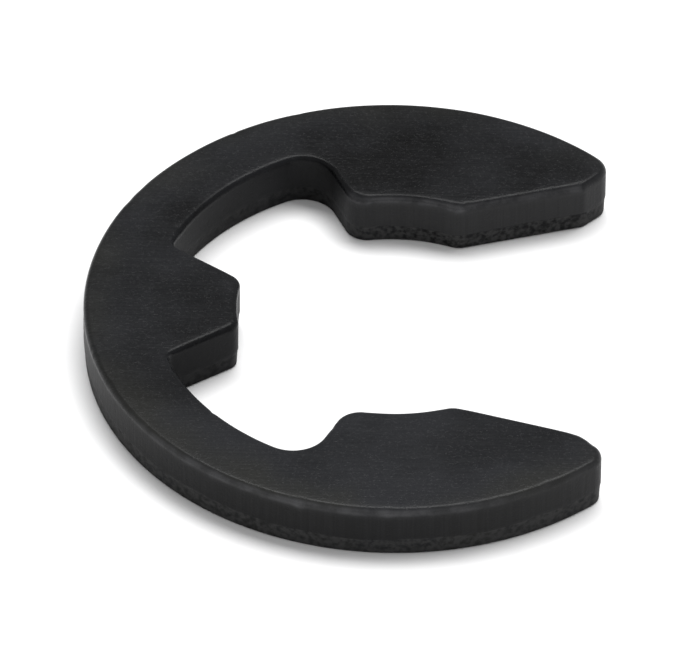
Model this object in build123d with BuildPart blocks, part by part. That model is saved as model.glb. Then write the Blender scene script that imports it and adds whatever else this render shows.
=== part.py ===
from build123d import *
import os
from math import cos, radians, sin, sqrt

# E clip: a retaining ring for a grooved shaft, stamped in one piece from spring steel strip.
# It lies flat with its lower face on Z = 0.  The origin is the groove's centre, +X points out
# of the mouth, and the two arms mirror each other across the XZ plane.

# ---- driving dimensions, mm and degrees ----
outer_dia = 12.7          # across the rim
thickness = 1.2           # strip thickness
rim_width = 1.27          # radial width of the rim beside the windows
back_width = 1.46         # radial width of the rim behind the lug, where it bends most

seat_dia = 6.65           # circle that the arms' inner edges lie on, a tight fit on a 6.8 mm groove
mouth_grip = 0.26         # how far the peak of each arm stands inside the seat's half diameter
heel_angle = 105.5        # where each seat ends at its heel, from +X
shoulder_lean = 25.0      # slope of each shoulder back from the Y direction

tip_angle = 44.7          # half angle between the ends of the two arms
tip_width = 0.88          # radial width of each end face

lug_step = 0.13           # how far the lug's end stands inside the seat circle
lug_end_width = 1.42      # across the lug's end, corner to corner
lug_flare = 34.5          # slope of each flank away from the lug's middle line

# ---- corner radii in plan ----
rim_corner = 0.4          # end face to rim
tip_corner = 0.25         # end face to lead-in
peak_round = 0.45         # lead-in to seat
heel_round = 0.5          # seat to shoulder
relief_round = 0.7        # shoulder to window, wide to spread the bending stress
root_round = 0.2          # window to lug flank
horn_round = 0.3          # lug flank to lug end

# ---- edges left by the blanking die ----
roll_radius = 0.12        # rolled upper edge, on the side that faced the die
fracture_height = 0.42    # height of the torn band above the lower face
fracture_setback = 0.03   # how far that band draws in at the lower face


def on_circle(radius, angle):
    """Return the point at an angle on a circle round the origin."""
    return Vector(radius * cos(radians(angle)), radius * sin(radians(angle)))


def meet_circle(start, angle, centre, radius):
    """Return where a line that leaves a point inside a circle crosses that circle."""
    direction = on_circle(1, angle)
    offset = start - centre
    along = offset.dot(direction)
    return start + direction * (sqrt(along**2 - offset.dot(offset) + radius**2) - along)


# ---- plan of the upper arm and half of the lug ----
outer_radius = outer_dia / 2
seat_radius = seat_dia / 2
window_radius = outer_radius - rim_width
window_centre = Vector(back_width - rim_width, 0)

tip_outer = on_circle(outer_radius, tip_angle)
tip_inner = on_circle(outer_radius - tip_width, tip_angle)
peak_y = seat_radius - mouth_grip
peak = Vector(sqrt(seat_radius**2 - peak_y**2), peak_y)
heel = on_circle(seat_radius, heel_angle)
relief = meet_circle(heel, 90 + shoulder_lean, window_centre, window_radius)
shoulder_length = (relief - heel).length

horn_y = lug_end_width / 2
lug_end_x = lug_step - seat_radius
horn = Vector(lug_step - sqrt(seat_radius**2 - horn_y**2), horn_y)
root = meet_circle(horn, 180 - lug_flare, window_centre, window_radius)

corners = [
    (tip_outer, rim_corner),
    (tip_inner, tip_corner),
    (peak, peak_round),
    (heel, heel_round),
    (relief, min(relief_round, shoulder_length / 2)),
    (root, root_round),
    (horn, horn_round),
]

with BuildPart() as e_clip:
    with BuildSketch() as plan:
        with BuildLine():
            Line(tip_outer, tip_inner)
            Line(tip_inner, peak)
            RadiusArc(peak, heel, -seat_radius)
            Line(heel, relief)
            RadiusArc(relief, root, -window_radius)
            Line(root, horn)
            mirror(about=Plane.XZ)
            CenterArc((0, 0), outer_radius, tip_angle, 360 - 2 * tip_angle)
            ThreePointArc(horn, (lug_end_x, 0), (horn.X, -horn.Y))
        make_face()
        for point, radius in corners:
            for side in (1, -1):
                corner = plan.vertices().sort_by_distance((point.X, side * point.Y))[0]
                fillet(corner, radius)
    extrude(amount=thickness)

    upper_face = e_clip.faces().sort_by(Axis.Z)[-1]
    fillet(upper_face.edges(), roll_radius)

    lower_face = e_clip.faces().sort_by(Axis.Z)[0]
    chamfer(lower_face.edges(), fracture_setback, fracture_height, reference=lower_face)

e_clip.part.label = "e_clip"
os.makedirs("parts", exist_ok=True)
export_step(e_clip.part, "parts/e_clip.step")
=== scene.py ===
"""An e clip, the retaining ring that snaps into a shaft's groove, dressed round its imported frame.

The clip lies flat with its lower face on Z = 0, the centre of its seat at the origin and its
mouth towards +X.  Its shape is worked out in millimetres and set down in metres.
"""

import cmath
import logging
from collections.abc import Mapping, Sequence
from dataclasses import dataclass, field
from enum import Enum
from math import ceil, cos, pi, radians, sin, sqrt, tau

import bpy
import numpy as np
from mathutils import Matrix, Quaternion, Vector, geometry, noise


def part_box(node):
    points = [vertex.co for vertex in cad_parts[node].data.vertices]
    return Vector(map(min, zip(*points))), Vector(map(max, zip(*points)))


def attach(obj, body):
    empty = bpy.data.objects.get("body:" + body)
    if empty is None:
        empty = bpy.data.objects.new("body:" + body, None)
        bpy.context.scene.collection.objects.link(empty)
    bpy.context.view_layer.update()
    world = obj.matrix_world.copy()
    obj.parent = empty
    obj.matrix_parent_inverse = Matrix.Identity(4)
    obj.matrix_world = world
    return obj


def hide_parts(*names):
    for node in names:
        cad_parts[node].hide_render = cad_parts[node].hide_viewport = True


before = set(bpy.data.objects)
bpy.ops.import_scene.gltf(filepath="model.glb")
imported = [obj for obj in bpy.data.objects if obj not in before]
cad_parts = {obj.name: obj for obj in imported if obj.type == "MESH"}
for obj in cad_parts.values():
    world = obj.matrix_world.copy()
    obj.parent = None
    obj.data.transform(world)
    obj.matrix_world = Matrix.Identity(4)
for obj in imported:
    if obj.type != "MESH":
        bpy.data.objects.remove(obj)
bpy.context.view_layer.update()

MM = 0.001
BODY = "root"
NODE = "e_clip"
SLOT = "phosphated_spring_steel"
LOG = logging.getLogger("e_clip")

# The marks that the mesh carries at each point, for the finish to read.
MARKS = ("wear_and_highlight", "land_and_shade", "torn", "matt")

# A face is filled inside its outline only, and points nearer than this, in mm, become one.
FILL_INSIDE = 1
MERGE_GAP = 1e-7


# ---- plan geometry ----
# Plan points are complex numbers in mm: the real part is X and the imaginary part is Y.


class Turn(Enum):
    """Which way a stroke of the outline bends as it is drawn."""

    STRAIGHT = 0
    LEFT = 1
    RIGHT = -1


def polar(radius: float, angle: float) -> complex:
    """Return the plan point at a radius and an angle in degrees."""
    return cmath.rect(radius, radians(angle))


def unit(step: complex) -> complex:
    """Return a step's direction, one millimetre long."""
    return step / abs(step)


def along(step: complex, direction: complex) -> float:
    """Return how far a step goes along a unit direction."""
    return (step * direction.conjugate()).real


def across(step: complex, direction: complex) -> float:
    """Return how far a step goes to the left of a unit direction."""
    return (step * direction.conjugate()).imag


@dataclass(frozen=True)
class Stroke:
    """One straight or round stroke of the outline, drawn with the steel on its left."""

    start: complex
    end: complex
    turn: Turn = Turn.STRAIGHT
    centre: complex = 0j

    @property
    def radius(self) -> float:
        """Radius of a round stroke."""
        return abs(self.start - self.centre)

    @property
    def sweep(self) -> float:
        """Angle in radians that a round stroke turns through."""
        turned = cmath.phase((self.end - self.centre) / (self.start - self.centre))
        return self.turn.value * turned % tau

    def heading(self, point: complex) -> complex:
        """Work out the direction of travel.

        Args:
            point: A point of the stroke.

        Returns:
            The unit direction there.
        """
        if self.turn is Turn.STRAIGHT:
            return unit(self.end - self.start)
        return self.turn.value * 1j * unit(point - self.centre)

    def foot(self, point: complex) -> complex:
        """Find the place on the stroke, or on its continuation, nearest to a point.

        Args:
            point: Any plan point but the centre of a round stroke.

        Returns:
            The nearest place.
        """
        if self.turn is Turn.STRAIGHT:
            heading = self.heading(point)
            return self.start + heading * along(point - self.start, heading)
        return self.centre + self.radius * unit(point - self.centre)

    def sample(self, step: float, bend: float) -> tuple[np.ndarray, np.ndarray, np.ndarray]:
        """Lay points along the stroke, from its start up to but not at its end.

        Args:
            step: The longest gap between points, in mm.
            bend: The largest turn between points, in radians.

        Returns:
            The points, the unit directions out of the steel, and the curvature, which is
            above zero where the steel's corner sticks out.
        """
        if self.turn is Turn.STRAIGHT:
            count = ceil(abs(self.end - self.start) / step)
            points = self.start + (self.end - self.start) * np.arange(count) / count
            return points, np.full(count, -1j * self.heading(self.start)), np.zeros(count)
        count = max(ceil(self.sweep * self.radius / step), ceil(self.sweep / bend))
        angles = self.turn.value * self.sweep * np.arange(count) / count
        points = self.centre + (self.start - self.centre) * np.exp(1j * angles)
        outward = self.turn.value * (points - self.centre) / self.radius
        return points, outward, np.full(count, self.turn.value / self.radius)


def corner_blend(incoming: Stroke, outgoing: Stroke, radius: float) -> Stroke:
    """Round the corner where two strokes meet, at least one of them straight.

    Args:
        incoming: The stroke that ends at the corner.
        outgoing: The stroke that starts there.
        radius: The corner's radius in mm.

    Returns:
        The arc that is tangent to both strokes.
    """
    corner = outgoing.start
    straight, other = outgoing, incoming
    if incoming.turn is Turn.STRAIGHT:
        straight, other = incoming, outgoing
    turned = across(outgoing.heading(corner), incoming.heading(corner))
    turn = Turn.LEFT if turned > 0 else Turn.RIGHT
    shift = turn.value * radius
    heading = straight.heading(corner)
    start = corner + shift * 1j * heading
    if other.turn is Turn.STRAIGHT:
        other_heading = other.heading(corner)
        gap = corner + shift * 1j * other_heading - start
        centre = start + heading * across(gap, other_heading) / across(heading, other_heading)
    else:
        shifted_radius = other.radius - shift * other.turn.value
        middle = start + heading * along(other.centre - start, heading)
        half_chord = sqrt(shifted_radius**2 - abs(middle - other.centre) ** 2)
        crossings = (middle - half_chord * heading, middle + half_chord * heading)
        centre = min(crossings, key=lambda crossing: abs(crossing - corner))
    return Stroke(incoming.foot(centre), outgoing.foot(centre), turn, centre)


@dataclass(frozen=True)
class TracedEdge:
    """The outline as a closed ring of points, with the steel on the left."""

    points: np.ndarray
    outward: np.ndarray
    curvature: np.ndarray

    def smoothed(self, values: np.ndarray, reach: float) -> np.ndarray:
        """Spread values along the edge with a bell curve.

        Args:
            values: One value for each point of the edge.
            reach: The bell's standard deviation, in mm along the edge.

        Returns:
            The spread values.
        """
        gaps = np.abs(np.roll(self.points, -1) - self.points)
        place = np.cumsum(gaps) - gaps
        total = gaps.sum()
        weight = (gaps + np.roll(gaps, 1)) / 2
        apart = np.abs(place[:, None] - place[None, :])
        apart = np.minimum(apart, total - apart)
        bell = np.exp(-0.5 * (apart / reach) ** 2) * weight
        return bell @ values / bell.sum(axis=1)

    def gap(self, places: np.ndarray) -> np.ndarray:
        """Return how far each place is from the nearest point of the edge, in mm."""
        return np.abs(places[:, None] - self.points[None, :]).min(axis=1)

    def contains(self, places: np.ndarray) -> np.ndarray:
        """Say which places lie inside the outline.

        Args:
            places: Plan points.

        Returns:
            True for each place that is inside.
        """
        start, end = self.points[:, None], np.roll(self.points, -1)[:, None]
        spans = (start.imag > places.imag) != (end.imag > places.imag)
        rise = np.where(spans, end.imag - start.imag, 1.0)
        crossing = start.real + (places.imag - start.imag) / rise * (end.real - start.real)
        return (spans & (places.real < crossing)).sum(axis=0) % 2 == 1


@dataclass(frozen=True)
class ClipOutline:
    """The clip's plan: a rim with a lug behind and two arms whose inner edges are the seat."""

    outer_radius: float
    rim_width: float = 1.27
    back_width: float = 1.46
    seat_radius: float = 3.325
    mouth_grip: float = 0.26
    heel_angle: float = 105.5
    shoulder_lean: float = 25.0
    tip_angle: float = 44.7
    tip_width: float = 0.88
    lug_step: float = 0.13
    lug_end_width: float = 1.42
    lug_flare: float = 34.5
    rim_corner: float = 0.4
    tip_corner: float = 0.25
    peak_round: float = 0.45
    heel_round: float = 0.5
    relief_round: float = 0.7
    root_round: float = 0.2
    horn_round: float = 0.3

    @property
    def window_centre(self) -> complex:
        """Middle of the circle that the windows beside the lug are cut to."""
        return complex(self.back_width - self.rim_width, 0)

    def to_window(self, start: complex, angle: float) -> complex:
        """Draw a line out to the circle that the windows are cut to.

        Args:
            start: A point inside the circle.
            angle: The line's angle in degrees.

        Returns:
            The point where the line meets the circle.
        """
        direction = polar(1, angle)
        step = start - self.window_centre
        window_radius = self.outer_radius - self.rim_width
        reach = sqrt(along(step, direction) ** 2 - abs(step) ** 2 + window_radius**2)
        return start + direction * (reach - along(step, direction))

    def corners(self) -> tuple[list[complex], list[float]]:
        """Work out the sharp corners of the upper arm and half of the lug.

        Returns:
            The corners from the arm's tip round to the lug's horn, and their radii.
        """
        half_mouth = self.seat_radius - self.mouth_grip
        peak = complex(sqrt(self.seat_radius**2 - half_mouth**2), half_mouth)
        heel = polar(self.seat_radius, self.heel_angle)
        relief = self.to_window(heel, 90 + self.shoulder_lean)
        half_lug = self.lug_end_width / 2
        horn = complex(self.lug_step - sqrt(self.seat_radius**2 - half_lug**2), half_lug)
        points = [
            polar(self.outer_radius, self.tip_angle),
            polar(self.outer_radius - self.tip_width, self.tip_angle),
            peak,
            heel,
            relief,
            self.to_window(horn, 180 - self.lug_flare),
            horn,
        ]
        rounds = [
            self.rim_corner,
            self.tip_corner,
            self.peak_round,
            self.heel_round,
            min(self.relief_round, abs(relief - heel) / 2),
            self.root_round,
            self.horn_round,
        ]
        return points, rounds

    def strokes(self) -> list[Stroke]:
        """Draw the whole outline with its corners rounded.

        Returns:
            The strokes in order, each starting where the last one ends.
        """
        upper, rounds = self.corners()
        points = [point.conjugate() for point in upper] + upper[::-1]
        line = (Turn.STRAIGHT, 0j)
        seat = (Turn.RIGHT, 0j)
        window = (Turn.RIGHT, self.window_centre)
        lug_end = (Turn.RIGHT, complex(self.lug_step, 0))
        rim = (Turn.LEFT, 0j)
        lower_arm = [line, line, seat, line, window, line]
        carriers = lower_arm + [lug_end] + lower_arm[::-1] + [rim]
        sharp = [
            Stroke(start, end, *carrier)
            for start, end, carrier in zip(points, points[1:] + points[:1], carriers)
        ]
        blends = [
            corner_blend(incoming, outgoing, radius)
            for incoming, outgoing, radius in zip(
                sharp[-1:] + sharp[:-1], sharp, rounds + rounds[::-1]
            )
        ]
        outline = []
        for before, stroke, after in zip(blends, sharp, blends[1:] + blends[:1]):
            outline += [before, Stroke(before.end, after.start, stroke.turn, stroke.centre)]
        return outline

    def trace(self, step: float, bend: float) -> TracedEdge:
        """Lay points round the whole outline.

        Args:
            step: The longest gap between points, in mm.
            bend: The largest turn between points, in radians.

        Returns:
            The traced edge.
        """
        sampled = [stroke.sample(step, bend) for stroke in self.strokes()]
        return TracedEdge(*(np.concatenate(values) for values in zip(*sampled)))


# ---- the blanked edge ----


@dataclass(frozen=True)
class Ripple:
    """Smooth noise over the clip: its swings per millimetre of plan and of height, and its seed."""

    plan: float
    rise: float
    seed: float

    def at(self, places: np.ndarray, heights: np.ndarray | float = 0) -> np.ndarray:
        """Read the noise at points of the clip.

        Args:
            places: Plan points, in mm.
            heights: Heights over the lower face, in mm.

        Returns:
            Values from -1 to 1.
        """
        across_x = places.real * self.plan + self.seed
        across_y = places.imag * self.plan - self.seed
        upward = np.broadcast_to(heights * self.rise + self.seed, places.shape)
        return np.array([noise.noise(Vector(point)) for point in zip(across_x, across_y, upward)])

    def share(self, places: np.ndarray, heights: np.ndarray | float = 0) -> np.ndarray:
        """Read the noise as a share, from 0 to 1."""
        return 0.5 + 0.5 * self.at(places, heights)


@dataclass(frozen=True)
class Ring:
    """One ring of the wall: its inset from the outline, its height and its marks for the finish.

    Wear is how bare the metal is, with the crest's painted highlight, land how much the die scored
    it and torn how rough the break is, both cut back in the windows as painted shade, and matt how
    dull the phosphate is.  Each mark runs from 0 to about 1.
    """

    inset: np.ndarray | float
    height: np.ndarray | float
    wear_and_highlight: np.ndarray | float = 0
    land_and_shade: np.ndarray | float = 0
    torn: np.ndarray | float = 0
    matt: np.ndarray | float = 0


@dataclass(frozen=True)
class BlankedEdge:
    """The marks of the blanking die, from the rolled upper edge down to the torn band."""

    # The rolled edge, which a corner as tight as the sharp radius swells or shrinks in full, and
    # the dip of the upper face towards it.
    roll_radius: float = 0.12
    corner_swing: float = 0.4
    sharp_radius: float = 0.4
    corner_reach: float = 0.18
    roll_waver: float = 0.08
    roll_ripple: Ripple = Ripple(0.9, 0, 4.7)
    draw_depth: float = 0.012
    draw_reach: float = 0.20

    # Nicks from tumbling, as widths in mm and depths as shares of the roll.
    nicks: int = 26
    nick_width: tuple[float, float] = (0.05, 0.14)
    nick_depth: tuple[float, float] = (0.08, 0.30)
    nick_seed: int = 21

    # Wear, which also paints the edges' highlight: the most is on the edges that face the rubbed
    # and lit side.  It sets in and is full at these angles down the roll's quarter turn, and it
    # fades away down the land.
    crest_wear: float = 0.75
    most_wear: float = 1.3
    rubbed_and_lit_side: float = 255.0
    rubbed_spread: tuple[float, float] = (0.74, 0.94)
    quiet_wear: float = 0.30
    rub_onset: float = 20.0
    rub_full: float = 55.0
    rub_curve: float = 1.5
    rub_reach: float = 0.045

    # The windows: how far out from the middle and how far forward they reach, and the share of
    # each mark that is left in them.  Less land and torn band there paints shade on the window
    # walls.
    window_reach: float = 5.6
    window_front: float = -0.9
    window_blend: float = 0.3
    window_wear: float = 0.1
    window_land_shade: float = 0.34
    window_torn_shade: float = 0.4

    # The scores that the die leaves on the land.
    score_depth: float = 0.0025
    score_ripple: Ripple = Ripple(11.0, 0.9, 2.6)

    # The torn band: its wavering top, its rough face that draws in, and the round at its foot.
    torn_height: float = 0.42
    torn_waver: float = 0.07
    torn_mix: float = 0.7
    long_ripple: Ripple = Ripple(0.7, 0, 1.3)
    short_ripple: Ripple = Ripple(4.0, 0, 8.1)
    torn_setback: float = 0.03
    setback_curve: float = 0.6
    tear_depth: float = 0.009
    tear_mix: float = 0.6
    coarse_tear: Ripple = Ripple(5.0, 6.0, 3.9)
    fine_tear: Ripple = Ripple(13.0, 15.0, 5.2)
    foot_round: float = 0.03

    # How many rings shape each band.
    roll_steps: int = 9
    land_steps: int = 9
    torn_steps: int = 10
    foot_steps: int = 4

    def roll(self, edge: TracedEdge) -> np.ndarray:
        """Size the rolled edge, which grows at corners that stick out and shrinks inside others.

        Args:
            edge: The traced outline.

        Returns:
            The roll's radius at each point of the edge, in mm.
        """
        sharpness = np.clip(edge.curvature * self.sharp_radius, -1, 1)
        swell = self.corner_swing * edge.smoothed(sharpness, self.corner_reach)
        waver = self.roll_waver * self.roll_ripple.at(edge.points)
        return self.roll_radius * (1 + swell + waver + self.nicked(edge))

    def nicked(self, edge: TracedEdge) -> np.ndarray:
        """Scatter the small nicks that tumbling leaves along the rolled edge.

        Args:
            edge: The traced outline.

        Returns:
            How much each point's roll grows, as a share of the roll.
        """
        dice = np.random.default_rng(self.nick_seed)
        grown = np.zeros(len(edge.points))
        for _ in range(self.nicks):
            middle = edge.points[dice.integers(len(edge.points))]
            width, depth = dice.uniform(*self.nick_width), dice.uniform(*self.nick_depth)
            grown += depth * np.exp(-((np.abs(edge.points - middle) / width) ** 2))
        return grown

    def windowed(self, edge: TracedEdge) -> np.ndarray:
        """Say how far each part of the edge lies in the windows, behind the heels.

        Args:
            edge: The traced outline.

        Returns:
            1 deep in a window and 0 outside, with a soft change between.
        """
        inside = (np.abs(edge.points) < self.window_reach) & (edge.points.real < self.window_front)
        return edge.smoothed(inside.astype(float), self.window_blend)

    def rubbed_and_highlight(self, edge: TracedEdge, roll: np.ndarray, windowed: np.ndarray) -> np.ndarray:
        """Say how bare the crest is, with its painted highlight: one side most, the windows hardly
        at all.

        Args:
            edge: The traced outline.
            roll: The roll's radius at each point, in mm.
            windowed: How far each point lies in the windows.

        Returns:
            The wear, with its painted highlight, at each point.
        """
        low, high = self.rubbed_spread
        facing = (edge.outward * polar(1, -self.rubbed_and_lit_side)).real
        facing = np.clip((facing - low) / (high - low), 0, 1)
        side = self.quiet_wear + (1 - self.quiet_wear) * facing
        crest = np.clip(self.crest_wear + (roll / self.roll_radius - 1), 0, self.most_wear)
        return crest * (side * (1 - (1 - self.window_wear) * windowed))

    def torn_top(self, edge: TracedEdge) -> np.ndarray:
        """Let the torn band's top waver along the edge.

        Args:
            edge: The traced outline.

        Returns:
            The top's height at each point, in mm.
        """
        long_wave, short_wave = self.long_ripple.at(edge.points), self.short_ripple.at(edge.points)
        wave = self.torn_mix * long_wave + (1 - self.torn_mix) * short_wave
        return self.torn_height + self.torn_waver * wave

    def drawn_down(self, gap: np.ndarray) -> np.ndarray:
        """Return how far the upper face dips towards its edge, at each gap from the outline."""
        return self.draw_depth * np.exp(-gap / self.draw_reach)

    def rolled_rings(self, thickness: float, roll: np.ndarray, crest: np.ndarray) -> list[Ring]:
        """Shape the rolled edge, a quarter round from the upper face to the land.

        Args:
            thickness: The strip's thickness, in mm.
            roll: The roll's radius at each point, in mm.
            crest: The wear and painted highlight of the roll's crest at each point.

        Returns:
            The rings, top first.
        """
        onset, full = radians(self.rub_onset), radians(self.rub_full)
        rings = []
        for turned in np.linspace(0, pi / 2, self.roll_steps):
            inset = roll * (1 - sin(turned))
            height = thickness - roll * (1 - cos(turned))
            worn = np.clip((turned - onset) / (full - onset), 0, 1) ** self.rub_curve
            rings.append(Ring(inset, height, wear_and_highlight=crest * worn))
        return rings

    def land_rings(
        self,
        edge: TracedEdge,
        top: np.ndarray,
        bottom: np.ndarray,
        crest: np.ndarray,
        windowed: np.ndarray,
    ) -> list[Ring]:
        """Shape the upright land that the die scored.

        Args:
            edge: The traced outline.
            top: The height where the land starts at each point, in mm.
            bottom: The height where it ends, in mm.
            crest: The wear and painted highlight of the roll's crest at each point.
            windowed: How far each point lies in the windows.

        Returns:
            The rings, top first.
        """
        # Less scored land in the windows paints shade on their walls.
        scored = 1 - (1 - self.window_land_shade) * windowed
        rings = []
        for share in np.arange(1, self.land_steps + 1) / self.land_steps:
            height = top * (1 - share) + bottom * share
            inset = self.score_depth * self.score_ripple.share(edge.points, height)
            worn = np.exp((height - top) / self.rub_reach)
            rings.append(Ring(inset, height, wear_and_highlight=crest * worn, land_and_shade=scored, matt=windowed))
        return rings

    def torn_rings(self, edge: TracedEdge, top: np.ndarray, windowed: np.ndarray) -> list[Ring]:
        """Shape the torn band, which draws in as it goes down, and the round at its foot.

        Args:
            edge: The traced outline.
            top: The height where the band starts at each point, in mm.
            windowed: How far each point lies in the windows.

        Returns:
            The rings, top first.
        """
        # Less torn band in the windows paints shade on their walls.
        torn = 1 - (1 - self.window_torn_shade) * windowed
        rings = []
        for share in np.arange(1, self.torn_steps + 1) / self.torn_steps:
            height = top * (1 - share) + self.foot_round * share
            coarse = self.coarse_tear.share(edge.points, height)
            fine = self.fine_tear.share(edge.points, height)
            tear = self.tear_depth * (self.tear_mix * coarse + (1 - self.tear_mix) * fine)
            inset = self.torn_setback * share**self.setback_curve + tear * sqrt(1 - share)
            rings.append(Ring(inset, height, torn=torn, matt=windowed))
        for turned in np.linspace(0, pi / 2, self.foot_steps + 1)[1:]:
            inset = self.torn_setback + self.foot_round * (1 - cos(turned))
            rings.append(Ring(inset, self.foot_round * (1 - sin(turned)), torn=torn, matt=windowed))
        return rings

    def rings(self, edge: TracedEdge, thickness: float) -> list[Ring]:
        """Shape the wall ring by ring, from the upper face to the lower.

        Args:
            edge: The traced outline.
            thickness: The strip's thickness, in mm.

        Returns:
            The rings, top first.
        """
        roll, torn_top, windowed = self.roll(edge), self.torn_top(edge), self.windowed(edge)
        crest = self.rubbed_and_highlight(edge, roll, windowed)
        return [
            *self.rolled_rings(thickness, roll, crest),
            *self.land_rings(edge, thickness - roll, torn_top, crest, windowed),
            *self.torn_rings(edge, torn_top, windowed),
        ]


# ---- finishes ----


Colour = tuple[float, float, float, float]
Marks = Mapping[str, bpy.types.NodeSocket]


@dataclass(frozen=True)
class Cloud:
    """One layer of cloudy noise, and the part of its range that shows, from low to high.

    The pitch is its swings in each pattern unit, the detail its finer layers, the stretch how
    many units a millimetre holds along X, Y and Z, and the start its place over the origin.
    """

    pitch: float
    detail: float = 2
    low: float = 0.35
    high: float = 0.65
    stretch: tuple[float, float, float] = (1, 1, 1)
    start: tuple[float, float, float] = (0, 0, 0)


@dataclass(frozen=True)
class TonePatch:
    """A soft round patch, in mm, where the face is paler or, with a share below 0, darker."""

    x: float
    y: float
    spread: float
    share: float


class NodeBench:
    """Sets out the nodes of one finish and joins them."""

    def __init__(self, name: str) -> None:
        """Start a material with a bare surface shader.

        Args:
            name: The material's name.
        """
        self.material = bpy.data.materials.new(name)
        self.material.use_nodes = True
        self.tree = self.material.node_tree
        self.surface = self.tree.nodes["Principled BSDF"]

    def add(
        self, kind: str, inputs: Mapping[str | int, object], **options: object
    ) -> bpy.types.Node:
        """Add a node, choose its options and fill or join its inputs.

        Args:
            kind: Blender's name for the node, without its ShaderNode prefix.
            inputs: A value or another node's socket for each input.
            **options: The node's own settings.

        Returns:
            The new node.
        """
        node = self.tree.nodes.new(f"ShaderNode{kind}")
        for option, choice in options.items():
            setattr(node, option, choice)
        for name, value in inputs.items():
            self.feed(node.inputs[name], value)
        return node

    def feed(self, socket: bpy.types.NodeSocket, value: object) -> None:
        """Join another node's socket to an input, or set the input to a value.

        Args:
            socket: The input.
            value: Another node's socket, or a plain value.
        """
        if isinstance(value, bpy.types.NodeSocket):
            self.tree.links.new(value, socket)
        else:
            socket.default_value = value

    def millimetres(
        self,
        stretch: Sequence[float] = (1, 1, 1),
        turn: float = 0,
        start: Sequence[float] = (0, 0, 0),
    ) -> bpy.types.NodeSocket:
        """Give the object's own coordinates in millimetres.

        Args:
            stretch: How many pattern units a millimetre holds along X, Y and Z.
            turn: The angle in degrees that the pattern is turned through, about Z.
            start: The pattern's place over the clip's origin, in its own units.

        Returns:
            The coordinates.
        """
        place = self.add("TexCoord", {}).outputs["Object"]
        turned = self.add("Mapping", {"Vector": place, "Rotation": (0, 0, radians(turn))})
        scale = tuple(each / MM for each in stretch)
        inputs = {"Vector": turned.outputs[0], "Scale": scale, "Location": start}
        return self.add("Mapping", inputs).outputs[0]

    def along(self, angle: float) -> bpy.types.NodeSocket:
        """Measure how many mm each place lies from the origin towards an angle in degrees."""
        return self.add("SeparateXYZ", {0: self.millimetres(turn=-angle)}).outputs["X"]

    def away(self, x: float = 0, y: float = 0) -> bpy.types.NodeSocket:
        """Measure how many mm each place lies from a point of the lower face."""
        inputs = {0: self.millimetres(), 1: (x, y, 0)}
        return self.add("VectorMath", inputs, operation="DISTANCE").outputs["Value"]

    def grain(self, cloud: Cloud) -> bpy.types.NodeSocket:
        """Add cloudy noise.

        Args:
            cloud: The layer to add.

        Returns:
            A value near 0.5, from 0 to 1.
        """
        place = self.millimetres(cloud.stretch, start=cloud.start)
        inputs = {"Vector": place, "Scale": cloud.pitch, "Detail": cloud.detail}
        return self.add("TexNoise", inputs).outputs[0]

    def shown(self, cloud: Cloud, bottom: float = 0, top: float = 1) -> bpy.types.NodeSocket:
        """Add cloudy noise and stretch the part that shows from bottom to top."""
        return self.span(self.grain(cloud), cloud.low, cloud.high, bottom, top)

    def span(
        self,
        value: bpy.types.NodeSocket,
        low: float,
        high: float,
        bottom: float = 0,
        top: float = 1,
    ) -> bpy.types.NodeSocket:
        """Stretch a range of a value over another range, with soft ends.

        Args:
            value: What to stretch.
            low: Where the range starts.
            high: Where it ends.
            bottom: What the start becomes.
            top: What the end becomes.

        Returns:
            The stretched value, held between bottom and top.
        """
        ends = {"From Min": low, "From Max": high, "To Min": bottom, "To Max": top}
        inputs = {"Value": value, **ends}
        return self.add("MapRange", inputs, interpolation_type="SMOOTHSTEP").outputs[0]

    def sum(self, first: object, second: object, operation: str = "ADD") -> bpy.types.NodeSocket:
        """Join two values by a sum, or by another operation of the maths node."""
        return self.add("Math", {0: first, 1: second}, operation=operation).outputs[0]

    def times(self, first: object, second: object) -> bpy.types.NodeSocket:
        """Multiply two values."""
        return self.sum(first, second, "MULTIPLY")

    def mix(self, share: object, first: object, second: object) -> bpy.types.NodeSocket:
        """Mix two values, which the mix node takes at its sockets 2 and 3."""
        return self.add("Mix", {0: share, 2: first, 3: second}, data_type="FLOAT").outputs[0]

    def blend(
        self, share: object, first: object, second: object, kind: str = "MIX"
    ) -> bpy.types.NodeSocket:
        """Mix two colours, which the mix node takes at its sockets 6 and 7.

        Args:
            share: How much the second colour counts, from 0 to 1.
            first: The first colour.
            second: The second colour.
            kind: How the second is laid on the first, by the mix node's names.

        Returns:
            The mixed colour.
        """
        inputs = {0: share, 6: first, 7: second}
        return self.add("Mix", inputs, data_type="RGBA", blend_type=kind).outputs[2]

    def relief(
        self, height: object, depth: float, under: bpy.types.NodeSocket | None = None
    ) -> bpy.types.NodeSocket:
        """Raise a pattern as bumps.

        Args:
            height: The pattern, where 1 stands out and 0 lies low.
            depth: How deep it is, in mm.
            under: Bumps that this pattern lies on.

        Returns:
            The surface's direction.
        """
        inputs = {"Height": height, "Distance": depth * MM}
        if under is not None:
            inputs["Normal"] = under
        return self.add("Bump", inputs).outputs[0]

    def mark(self, name: str) -> bpy.types.NodeSocket:
        """Read a mark that the mesh carries at each point."""
        return self.add("Attribute", {}, attribute_name=name).outputs["Fac"]


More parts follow.
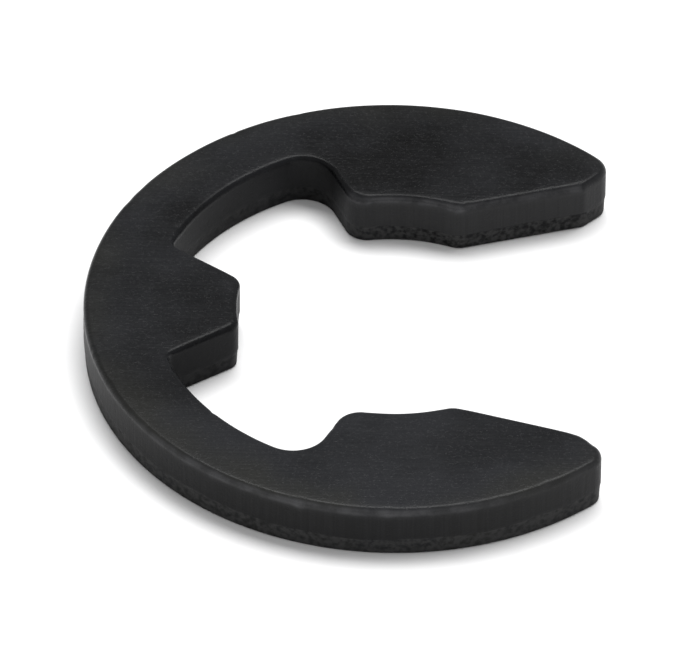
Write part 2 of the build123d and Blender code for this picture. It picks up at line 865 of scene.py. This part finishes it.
@dataclass(frozen=True)
class PhosphateFinish:
    """Black phosphate and a wipe of oil over hardened spring steel."""

    # The face's tone, from dark to pale.  Its drift is painted sheen, paler towards the lower arm.
    dark: Colour = (0.0006, 0.0006, 0.0006, 1)
    pale: Colour = (0.0140, 0.0140, 0.0146, 1)
    drift_angle: float = 98.0
    drift_reach: float = 7.5
    drift_share: float = 0.60
    mottle: Cloud = Cloud(0.45, 4, start=(9.9, 12.4, 7.7))
    mottle_share: float = 0.45
    rim_reach: tuple[float, float] = (5.3, 6.4)
    rim_share: float = 0.35
    tone_patches: tuple[TonePatch, ...] = (
        TonePatch(-0.2, -3.8, 2.6, 0.42),
        TonePatch(3.7, 5.3, 1.7, 0.34),
        TonePatch(-4.7, -2.3, 3.6, -0.20),
        # The darker patch at the lower arm's tip is partly painted shade, partly the face's own
        # tone.
        TonePatch(4.2, -4.6, 2.6, -0.24),
    )
    speckle: Cloud = Cloud(9.0, 3, 0.3, 0.7)
    speckle_share: float = 0.1

    # The face's hue, warm near the rim and cool within, in patches.
    warm: Colour = (0.98, 0.99, 0.88, 1)
    cool: Colour = (0.88, 0.92, 1.00, 1)
    hue_cloud: Cloud = Cloud(0.55)
    hue_patches: float = 3.0
    hue_reach: tuple[float, float] = (4.0, 5.4)

    # The wall: the scored land, painted paler to one side as the light falls, the torn band and
    # the rubbed crest, whose colour also paints the edges' highlight.
    scored_dark: Colour = (0.0110, 0.0110, 0.0113, 1)
    scored_pale: Colour = (0.0280, 0.0280, 0.0288, 1)
    scored_share: float = 0.85
    scored_angle: float = 50.0
    scored_reach: float = 6.0
    lit_side_share: float = 0.8
    scores: Cloud = Cloud(1.0, 3, stretch=(22, 22, 0.6))
    scores_share: float = 0.2
    torn: Colour = (0.0330, 0.0328, 0.0328, 1)
    torn_speckle: Cloud = Cloud(9.0, 3, 0.3, 0.65)
    rubbed_and_highlight: Colour = (0.066, 0.066, 0.069, 1)
    rubbed_cloud: Cloud = Cloud(3.2, 5, 0.36, 0.62)
    rubbed_least: float = 0.5
    rubbed_metal: float = 0.18

    # Roughness: the face's range, which the rolling lines and crystals swing through, and the
    # value that each mark leads to.
    face_gloss: tuple[float, float] = (0.23, 0.33)
    gloss_swing: tuple[float, float] = (0.8, 1.2)
    land_roughness: float = 0.46
    torn_roughness: float = 0.55
    matt_roughness: float = 0.50
    rubbed_roughness: float = 0.28
    specular: float = 0.08

    # Relief, with depths in mm.
    crystal: Cloud = Cloud(38.0)
    crystal_depth: float = 0.0014
    pits: Cloud = Cloud(14.0, 3, 0.34, 0.44)
    pit_depth: float = 0.0022
    rolling: Cloud = Cloud(1.0, 3, stretch=(0.9, 20, 20))
    rolling_depth: float = 0.0014
    score_depth: float = 0.0060
    tears: Cloud = Cloud(1.0, 4, stretch=(7, 7, 9))
    tear_depth: float = 0.0120

    def tone(self, bench: NodeBench) -> bpy.types.NodeSocket:
        """Mix the face's tone from its slow drift, which paints the light's sheen, its mottle, its
        pale rim and its patches.

        Args:
            bench: Where the finish is made.

        Returns:
            The tone, near 0 where the face is dark and near 1 where it is pale.
        """
        slope = bench.along(self.drift_angle)
        painted_sheen = bench.span(slope, self.drift_reach, -self.drift_reach, 0, self.drift_share)
        tone = bench.sum(painted_sheen, bench.shown(self.mottle, 0, self.mottle_share))
        tone = bench.sum(tone, bench.span(bench.away(), *self.rim_reach, 0, self.rim_share))
        for tone_patch in self.tone_patches:
            patch_tone = bench.span(bench.away(tone_patch.x, tone_patch.y), tone_patch.spread, 0, 0, tone_patch.share)
            tone = bench.sum(tone, patch_tone)
        return bench.sum(tone, bench.shown(self.speckle, 0, self.speckle_share))

    def face_colour(self, bench: NodeBench) -> bpy.types.NodeSocket:
        """Colour the phosphate on the faces.

        Args:
            bench: Where the finish is made.

        Returns:
            The colour.
        """
        patch = bench.times(bench.grain(self.hue_cloud), self.hue_patches)
        cooled = bench.span(bench.sum(bench.away(), patch, "SUBTRACT"), *self.hue_reach, 1, 0)
        hue = bench.blend(cooled, self.warm, self.cool)
        grey = bench.blend(self.tone(bench), self.dark, self.pale)
        return bench.blend(1.0, grey, hue, "MULTIPLY")

    def colour(self, bench: NodeBench, marks: Marks) -> bpy.types.NodeSocket:
        """Lay the land's and the torn band's colours, and the rubbed metal with its painted
        highlight, over the face's.

        Args:
            bench: Where the finish is made.
            marks: The mesh's marks, with wear and its painted highlight broken up by the rubbing.

        Returns:
            The colour.
        """
        # The land is painted paler towards one side, as the light falls on the wall.
        slope = bench.along(self.scored_angle)
        side = bench.span(slope, -self.scored_reach, self.scored_reach, 0, self.lit_side_share)
        scored = bench.sum(side, bench.shown(self.scores, 0, self.scores_share))
        scored = bench.blend(scored, self.scored_dark, self.scored_pale)
        # The land and torn marks are cut back in the windows, which paints shade on their walls.
        land_and_shade = bench.times(marks["land_and_shade"], self.scored_share)
        torn = bench.times(marks["torn"], bench.shown(self.torn_speckle))
        colour = bench.blend(land_and_shade, self.face_colour(bench), scored)
        colour = bench.blend(torn, colour, self.torn)
        # Bare metal on the crest, with a pale painted highlight along it.
        return bench.blend(marks["wear_and_highlight"], colour, self.rubbed_and_highlight)

    def roughness(self, bench: NodeBench, marks: Marks) -> bpy.types.NodeSocket:
        """Make the oiled face and the rubbed crest glossier than the wall.

        Args:
            bench: Where the finish is made.
            marks: The mesh's marks, with wear and its painted highlight broken up by the rubbing.

        Returns:
            The roughness.
        """
        swing = bench.sum(bench.grain(self.rolling), bench.grain(self.crystal))
        roughness = bench.span(swing, *self.gloss_swing, *self.face_gloss)
        targets = {
            "land_and_shade": self.land_roughness,
            "torn": self.torn_roughness,
            "matt": self.matt_roughness,
            "wear_and_highlight": self.rubbed_roughness,
        }
        for name, target in targets.items():
            roughness = bench.mix(marks[name], roughness, target)
        return roughness

    def surface(self, bench: NodeBench, marks: Marks) -> bpy.types.NodeSocket:
        """Raise the crystals, pits and rolling lines, the land's scores and the band's tears.

        Args:
            bench: Where the finish is made.
            marks: The mesh's marks.

        Returns:
            The surface's direction.
        """
        surface = bench.relief(bench.grain(self.crystal), self.crystal_depth)
        surface = bench.relief(bench.shown(self.pits), self.pit_depth, surface)
        surface = bench.relief(bench.grain(self.rolling), self.rolling_depth, surface)
        scores = bench.times(bench.grain(self.scores), marks["land_and_shade"])
        surface = bench.relief(scores, self.score_depth, surface)
        tears = bench.times(bench.grain(self.tears), marks["torn"])
        return bench.relief(tears, self.tear_depth, surface)

    def material(self) -> bpy.types.Material:
        """Make the finish.

        Returns:
            The material.
        """
        bench = NodeBench(SLOT)
        marks = {name: bench.mark(name) for name in MARKS}
        rubbed_and_highlight = bench.shown(self.rubbed_cloud, self.rubbed_least, 1)
        marks["wear_and_highlight"] = bench.times(marks["wear_and_highlight"], rubbed_and_highlight)
        bench.feed(bench.surface.inputs["Base Color"], self.colour(bench, marks))
        bench.feed(bench.surface.inputs["Roughness"], self.roughness(bench, marks))
        bench.feed(bench.surface.inputs["Normal"], self.surface(bench, marks))
        bench.feed(bench.surface.inputs["Metallic"], bench.times(marks["wear_and_highlight"], self.rubbed_metal))
        bench.feed(bench.surface.inputs["Specular IOR Level"], self.specular)
        return bench.material


@dataclass(frozen=True)
class FloorFinish:
    """Matt white card with a faint tooth."""

    card: Colour = (0.80, 0.80, 0.80, 1)
    shade: Colour = (0.77, 0.77, 0.775, 1)
    tooth: Cloud = Cloud(1.6, 4)
    tooth_depth: float = 0.004
    roughness: float = 0.9
    specular: float = 0.1

    def material(self) -> bpy.types.Material:
        """Make the finish.

        Returns:
            The material.
        """
        bench = NodeBench("floor_card")
        tooth = bench.grain(self.tooth)
        bench.feed(bench.surface.inputs["Base Color"], bench.blend(tooth, self.card, self.shade))
        bench.feed(bench.surface.inputs["Normal"], bench.relief(tooth, self.tooth_depth))
        bench.feed(bench.surface.inputs["Roughness"], self.roughness)
        bench.feed(bench.surface.inputs["Specular IOR Level"], self.specular)
        return bench.material


# ---- the clip ----


@dataclass
class EClip:
    """The clip, one stamping that stands for the CAD node.

    The step and the bend set how finely its edge is traced.  The points on its faces lie a
    lattice's pitch apart, shaken by a share of it and kept a share of it clear of the edge.
    """

    outline: ClipOutline
    thickness: float
    edge: BlankedEdge = field(default_factory=BlankedEdge)
    finish: PhosphateFinish = field(default_factory=PhosphateFinish)
    step: float = 0.045
    bend: float = radians(6)
    lattice: float = 0.12
    shake: float = 0.2
    margin: float = 0.55
    hollow: float = 0.003
    hollow_ripple: Ripple = Ripple(0.35, 0, 6.4)
    seed: int = 7

    def interior(self, rim: TracedEdge) -> np.ndarray:
        """Scatter points over a face, clear of its edge.

        Args:
            rim: The face's own outline.

        Returns:
            The points.
        """
        reach = self.outline.outer_radius
        columns = np.arange(-reach, reach, self.lattice)
        rows = np.arange(-reach, reach, self.lattice * sqrt(3) / 2)
        shift = np.where(np.arange(len(rows)) % 2, self.lattice / 2, 0)
        places = (columns[None, :] + shift[:, None] + 1j * rows[:, None]).ravel()
        shaken = np.random.default_rng(self.seed).uniform(-self.shake, self.shake, (2, len(places)))
        places = places + self.lattice * (shaken[0] + 1j * shaken[1])
        places = places[rim.contains(places)]
        return places[rim.gap(places) > self.margin * self.lattice]

    def face(
        self, rim: TracedEdge, first: int, spare: int
    ) -> tuple[np.ndarray, list[tuple[int, ...]]]:
        """Fill a face with small triangles.

        Args:
            rim: The face's own outline.
            first: The number of the outline's first vertex in the mesh.
            spare: The number that the first new vertex gets.

        Returns:
            The new plan points, and the triangles as vertex numbers, anticlockwise from above.
        """
        inner = self.interior(rim)
        places = np.concatenate([rim.points, inner])
        count = len(rim.points)
        loop = [(index, (index + 1) % count) for index in range(count)]
        flat = [Vector((place.real, place.imag)) for place in places]
        filled = geometry.delaunay_2d_cdt(flat, loop, [], FILL_INSIDE, MERGE_GAP)
        _, _, triangles, origins, _, _ = filled
        number = [
            first + origin[0] if origin[0] < count else spare + origin[0] - count
            for origin in origins
        ]
        return inner, [tuple(number[corner] for corner in triangle) for triangle in triangles]

    def mesh(self) -> bpy.types.Mesh:
        """Build the clip's skin: the wall's rings and the two faces that close it.

        Returns:
            The mesh, in metres, with its marks for the finish.
        """
        edge = self.outline.trace(self.step, self.bend)
        rings = self.edge.rings(edge, self.thickness)
        count = len(edge.points)
        wall = [edge.points - edge.outward * ring.inset for ring in rings]
        quads = [
            (row + i, row + count + i, row + count + (i + 1) % count, row + (i + 1) % count)
            for row in range(0, count * (len(rings) - 1), count)
            for i in range(count)
        ]
        last = count * (len(rings) - 1)
        upper_rim = TracedEdge(wall[0], edge.outward, edge.curvature)
        lower_rim = TracedEdge(wall[-1], edge.outward, edge.curvature)
        upper, upper_faces = self.face(upper_rim, 0, last + count)
        lower, lower_faces = self.face(lower_rim, last, last + count + len(upper))
        lower_faces = [triangle[::-1] for triangle in lower_faces]

        stacked = {
            name: np.concatenate([np.broadcast_to(getattr(ring, name), count) for ring in rings])
            for name in ("inset", "height", *MARKS)
        }
        places = np.concatenate([*wall, upper, lower])
        level = np.repeat((self.thickness, 0.0), (len(upper), len(lower)))
        heights = np.concatenate([stacked["height"], level])
        gaps = np.concatenate([stacked["inset"], edge.gap(upper), edge.gap(lower)])
        sag = self.hollow * self.hollow_ripple.share(places)
        heights = heights * (1 - (sag + self.edge.drawn_down(gaps)) / self.thickness)
        corners = np.stack([places.real, places.imag, heights], axis=1) * MM

        mesh = bpy.data.meshes.new("clip")
        mesh.from_pydata(corners.tolist(), [], quads + upper_faces + lower_faces)
        mesh.shade_smooth()
        bare = np.zeros(len(upper) + len(lower))
        for mark in MARKS:
            values = np.concatenate([stacked[mark], bare]).astype(np.float32)
            mesh.attributes.new(mark, "FLOAT", "POINT").data.foreach_set("value", values)
        return mesh

    def build(self) -> bpy.types.Object:
        """Make the clip and set it in the frame in the CAD node's place.

        Returns:
            The clip.
        """
        clip = bpy.data.objects.new("clip", self.mesh())
        bpy.context.scene.collection.objects.link(clip)
        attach(clip, BODY)
        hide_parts(NODE)
        return clip

    def dress(self, clip: bpy.types.Object) -> None:
        """Give the clip its finish."""
        clip.data.materials.append(self.finish.material())


# ---- studio ----


@dataclass
class Studio:
    """A pale floor, soft light from above and a long lens.

    Lengths are in metres, and the sensor's width in mm.  The camera stands a number of outer
    diameters off, the clip fills a share of the frame's width, and what the camera sees starts
    and ends at multiples of its distance.
    """

    centre: Vector
    width: float
    outer_diameter: float
    floor_radius: float = 2.0
    floor_step: int = 5
    floor_drop: float = 0.00001
    room: Colour = (1.0, 1.0, 1.0, 1)
    room_strength: float = 0.62
    softbox_width: float = 0.70
    softbox_depth: float = 0.36
    softbox_height: float = 0.75
    softbox_shift: tuple[float, float] = (0.09, 0.24)
    softbox_power: float = 8.6
    azimuth: float = 0.9
    elevation: float = 41.4
    roll: float = 0.65
    camera_reach: float = 25.0
    frame_fill: float = 0.757
    sensor: float = 36.0
    nearest: float = 0.1
    furthest: float = 20.0
    floor_finish: FloorFinish = field(default_factory=FloorFinish)

    def lay_floor(self) -> bpy.types.Object:
        """Lay the floor just under the clip.

        Returns:
            The floor.
        """
        corners = [polar(self.floor_radius, angle) for angle in range(0, 360, self.floor_step)]
        mesh = bpy.data.meshes.new("floor")
        mesh.from_pydata(
            [(corner.real, corner.imag, -self.floor_drop) for corner in corners],
            [],
            [tuple(range(len(corners)))],
        )
        mesh.materials.append(self.floor_finish.material())
        floor = bpy.data.objects.new("floor", mesh)
        bpy.context.scene.collection.objects.link(floor)
        return floor

    def hang_light(self) -> bpy.types.Object:
        """Hang the softbox over the clip, a little behind it and to the right.

        Returns:
            The light.
        """
        light = bpy.data.lights.new("softbox", "AREA")
        light.shape = "RECTANGLE"
        light.size = self.softbox_width
        light.size_y = self.softbox_depth
        light.energy = self.softbox_power
        softbox = bpy.data.objects.new("softbox", light)
        softbox.location = (*self.softbox_shift, self.softbox_height)
        softbox.rotation_mode = "QUATERNION"
        softbox.rotation_quaternion = (self.centre - softbox.location).to_track_quat("-Z", "Y")
        bpy.context.scene.collection.objects.link(softbox)
        return softbox

    def light_room(self) -> bpy.types.World:
        """Fill the room with even light.

        Returns:
            The world.
        """
        world = bpy.data.worlds.new("room")
        world.use_nodes = True
        background = world.node_tree.nodes["Background"]
        background.inputs["Color"].default_value = self.room
        background.inputs["Strength"].default_value = self.room_strength
        bpy.context.scene.world = world
        return world

    def set_camera(self) -> bpy.types.Object:
        """Aim the camera at the middle of the clip.

        Returns:
            The camera.
        """
        azimuth, elevation = radians(self.azimuth), radians(self.elevation)
        back = Vector((
            sin(azimuth) * cos(elevation),
            -cos(azimuth) * cos(elevation),
            sin(elevation),
        ))
        distance = self.camera_reach * self.outer_diameter
        optics = bpy.data.cameras.new("camera")
        optics.sensor_width = self.sensor
        optics.lens = self.sensor * distance * self.frame_fill / self.width
        optics.clip_start = distance * self.nearest
        optics.clip_end = distance * self.furthest
        camera = bpy.data.objects.new("camera", optics)
        camera.location = self.centre + back * distance
        camera.rotation_mode = "QUATERNION"
        turn = Quaternion((0, 0, 1), radians(self.roll))
        camera.rotation_quaternion = (-back).to_track_quat("-Z", "Y") @ turn
        bpy.context.scene.collection.objects.link(camera)
        bpy.context.scene.camera = camera
        return camera


def main() -> None:
    """Build the clip and its studio, and report each piece."""
    logging.basicConfig(level=logging.INFO, format="%(name)s: %(message)s")
    low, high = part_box(NODE)
    outline = ClipOutline(outer_radius=min(-low.x, high.y) / MM)
    clip_maker = EClip(outline, thickness=high.z / MM)
    clip = clip_maker.build()
    clip_maker.dress(clip)
    LOG.info("%s: %d faces, rides on %s", clip.name, len(clip.data.polygons), BODY)

    studio = Studio((low + high) / 2, high.x - low.x, 2 * -low.x)
    for piece in (
        studio.lay_floor(), studio.hang_light(), studio.light_room(), studio.set_camera()
    ):
        LOG.info("%s: set up", piece.name)
    bpy.context.scene.view_settings.view_transform = "Standard"


if __name__ == "__main__":
    main()
